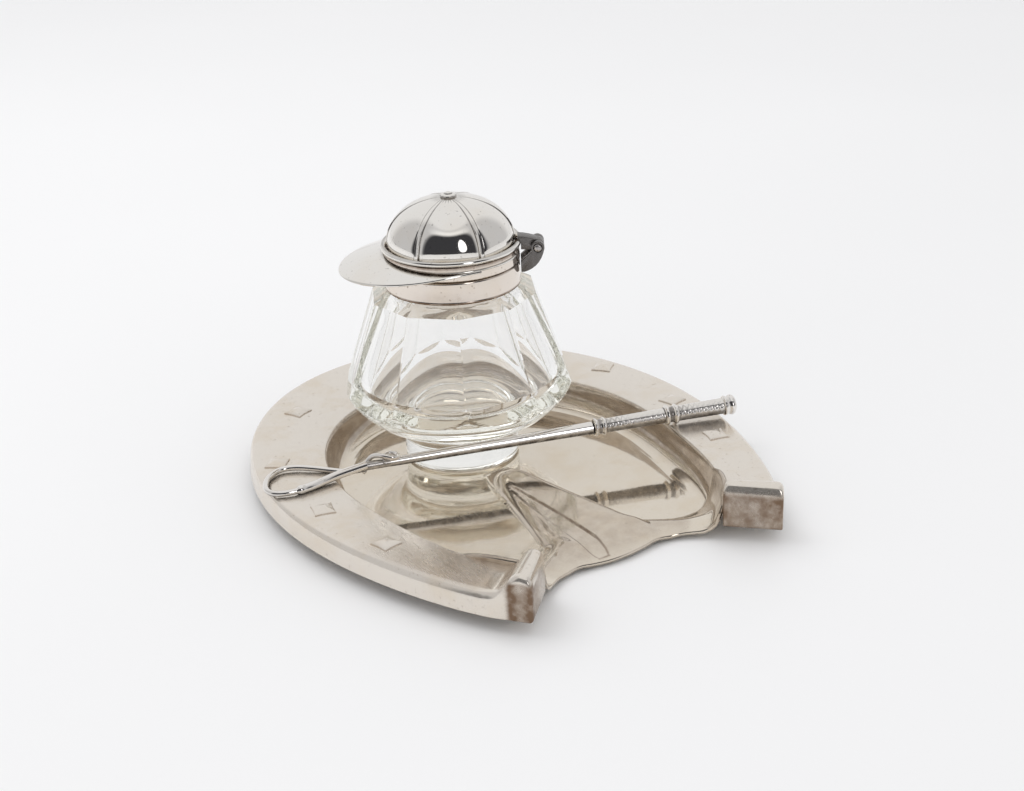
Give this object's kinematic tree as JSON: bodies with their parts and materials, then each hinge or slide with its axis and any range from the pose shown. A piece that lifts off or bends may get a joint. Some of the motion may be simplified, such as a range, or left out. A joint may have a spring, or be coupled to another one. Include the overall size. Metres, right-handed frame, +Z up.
{
  "type": "horseshoe inkwell stand",
  "caption": "Silver inkstand: a horseshoe tray pressed as a hoof's sole, a riding-crop pen rest across it, and a faceted glass inkwell with a hinged jockey-cap lid.",
  "frame": {"origin": "on the table under the middle of the tray's bounding box", "axes": "+Y towards the toe of the shoe, +Z up, +X to the right when seen from the open heels"},
  "size_m": [0.1488, 0.179, 0.0897],
  "materials": {
    "shoe_silver": "worn satin silver with warm tarnish",
    "dish_silver": "polished silver with brown tarnish in the corners",
    "crop_silver": "bright silver with dark oxide in the grooves",
    "crop_grip_silver": "chased silver grip, dark in the grooves",
    "clear_glass": "clear cut glass, faint straw tint in the thick parts",
    "plaster": "dull white cement",
    "collar_silver": "polished silver, faintly pink",
    "cap_silver": "bright polished silver",
    "hinge_silver": "dark oxidised silver",
    "pin_metal": "dull drawn wire"
  },
  "bodies": {
    "tray": {"horseshoe_shoe": "shoe_silver", "hoof_sole": "dish_silver", "nail_head_left_1": "shoe_silver", "nail_head_left_2": "shoe_silver", "nail_head_left_3": "shoe_silver", "nail_head_left_4": "shoe_silver", "nail_head_right_1": "shoe_silver", "nail_head_right_2": "shoe_silver", "nail_head_right_3": "shoe_silver", "nail_head_right_4": "shoe_silver", "crop_shaft": "crop_silver", "crop_collar_front": "crop_silver", "crop_collar_rear": "crop_silver", "crop_butt_cap": "crop_silver", "crop_knot": "crop_silver", "crop_thong_loop": "crop_silver", "crop_handle_front": "crop_grip_silver", "crop_handle_rear": "crop_grip_silver"},
    "inkwell": {"glass_bottle": "clear_glass", "neck_plaster": "plaster", "neck_collar": "collar_silver", "collar_lug_near": "hinge_silver", "collar_lug_far": "hinge_silver", "hinge_pin": "pin_metal"},
    "lid": {"lid_hinge_leaf": "hinge_silver", "lid_band": "collar_silver", "lid_bead": "cap_silver", "cap_crown": "cap_silver", "cap_peak": "cap_silver", "cap_button": "cap_silver", "lid_liner": "collar_silver"}
  },
  "joints": [
    {"name": "inkwell_lift", "type": "slide", "parent": "tray", "child": "inkwell", "axis": [0, 0, 1], "range_m": [0, 0.03]},
    {"name": "lid_hinge", "type": "hinge", "parent": "inkwell", "child": "lid", "pos_m": [0.0229, 0.00589, 0.0715], "axis": [0.5299, 0.848, 0], "range_deg": [0, 105]}
  ]
}
